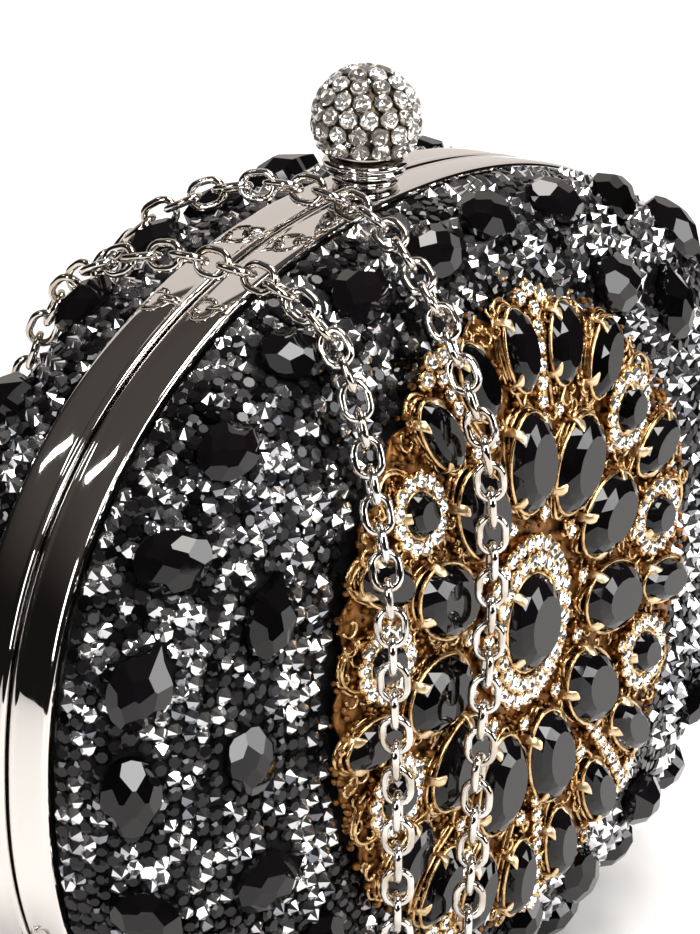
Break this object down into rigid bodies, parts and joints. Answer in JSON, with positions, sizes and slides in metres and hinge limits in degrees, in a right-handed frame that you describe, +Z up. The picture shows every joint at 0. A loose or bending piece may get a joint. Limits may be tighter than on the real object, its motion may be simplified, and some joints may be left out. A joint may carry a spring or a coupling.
{
  "type": "evening bag",
  "caption": "Hard oval evening bag with crystal-covered domed halves on polished rims, a press-down ball clasp, a jewelled rosette and a link chain strap.",
  "frame": {"origin": "on the surface the closed bag stands on, under the middle of its box without the chain strap", "axes": "+Z up, -Y towards the front with the rosette, +X to the right when seen from the front, along the bag's width and its bottom hinge"},
  "size_m": [0.168, 0.0856, 0.1367],
  "materials": {
    "polished_nickel": "mirror-polished nickel plate with fine hairline scratches",
    "crystal_pave": "small silver-foiled and jet cut stones packed together",
    "black_stone": "glossy faceted jet",
    "clear_rhinestone": "clear cut stones in bright metal beads",
    "gold_filigree": "gold-plated openwork, softly shiny",
    "shell_board": "satin moulded shell",
    "lining_cloth": "black satin lining with a fine weave",
    "inner_steel": "plain drawn and stamped steel"
  },
  "bodies": {
    "rear_half": {"rear_rim": "polished_nickel", "rear_crystal_cover": "crystal_pave", "rear_shell": "shell_board", "rear_lining": "lining_cloth", "rear_knuckle_centre": "polished_nickel", "rear_knuckle_right": "polished_nickel", "rear_knuckle_left": "polished_nickel", "hinge_pin": "inner_steel", "clasp_collar": "polished_nickel", "latch_bracket": "inner_steel", "latch_pivot_pin": "inner_steel", "clasp_spring": "inner_steel", "left_chain_lug": "polished_nickel", "right_chain_lug": "polished_nickel", "left_jump_ring": "polished_nickel", "right_jump_ring": "polished_nickel", "chain_strap": "polished_nickel"},
    "front_half": {"front_rim": "polished_nickel", "front_crystal_cover": "crystal_pave", "front_shell": "shell_board", "front_lining": "lining_cloth", "front_knuckle_left": "polished_nickel", "front_knuckle_right": "polished_nickel", "strike_plate": "inner_steel", "rosette_plate": "gold_filigree", "centre_stone": "black_stone", "centre_halo": "clear_rhinestone", "petal_stone_01": "black_stone", "spear_stone_01": "black_stone", "petal_stone_02": "black_stone", "spear_stone_02": "black_stone", "petal_stone_03": "black_stone", "spear_stone_03": "black_stone", "petal_stone_04": "black_stone", "spear_stone_04": "black_stone", "petal_stone_05": "black_stone", "spear_stone_05": "black_stone", "petal_stone_06": "black_stone", "spear_stone_06": "black_stone", "petal_stone_07": "black_stone", "spear_stone_07": "black_stone", "petal_stone_08": "black_stone", "spear_stone_08": "black_stone", "petal_stone_09": "black_stone", "spear_stone_09": "black_stone", "petal_stone_10": "black_stone", "spear_stone_10": "black_stone", "petal_stone_11": "black_stone", "spear_stone_11": "black_stone"},
    "clasp_button": {"clasp_cup": "polished_nickel", "clasp_stem": "inner_steel", "clasp_ball": "clear_rhinestone"},
    "latch": {"latch_pawl": "inner_steel"}
  },
  "joints": [
    {"name": "front_opening", "type": "hinge", "parent": "rear_half", "child": "front_half", "pos_m": [0, 0.0029, 0.0019], "axis": [1, 0, 0], "range_deg": [0, 50], "deforming": ["chain_strap"]},
    {"name": "clasp_press", "type": "slide", "parent": "rear_half", "child": "clasp_button", "axis": [0, 0, -1], "range_m": [0, 0.0014], "stiffness_N_per_m": 800, "springref_m": -0.001, "deforming": ["clasp_spring"]},
    {"name": "latch_rock", "type": "hinge", "parent": "rear_half", "child": "latch", "pos_m": [0, 0.0075, 0.1125], "axis": [1, 0, 0], "range_deg": [0, 10.6], "deforming": ["clasp_spring"]}
  ],
  "couplings": [
    {"joint": "latch_rock", "follows": "clasp_press", "rad_per_m": 131}
  ]
}
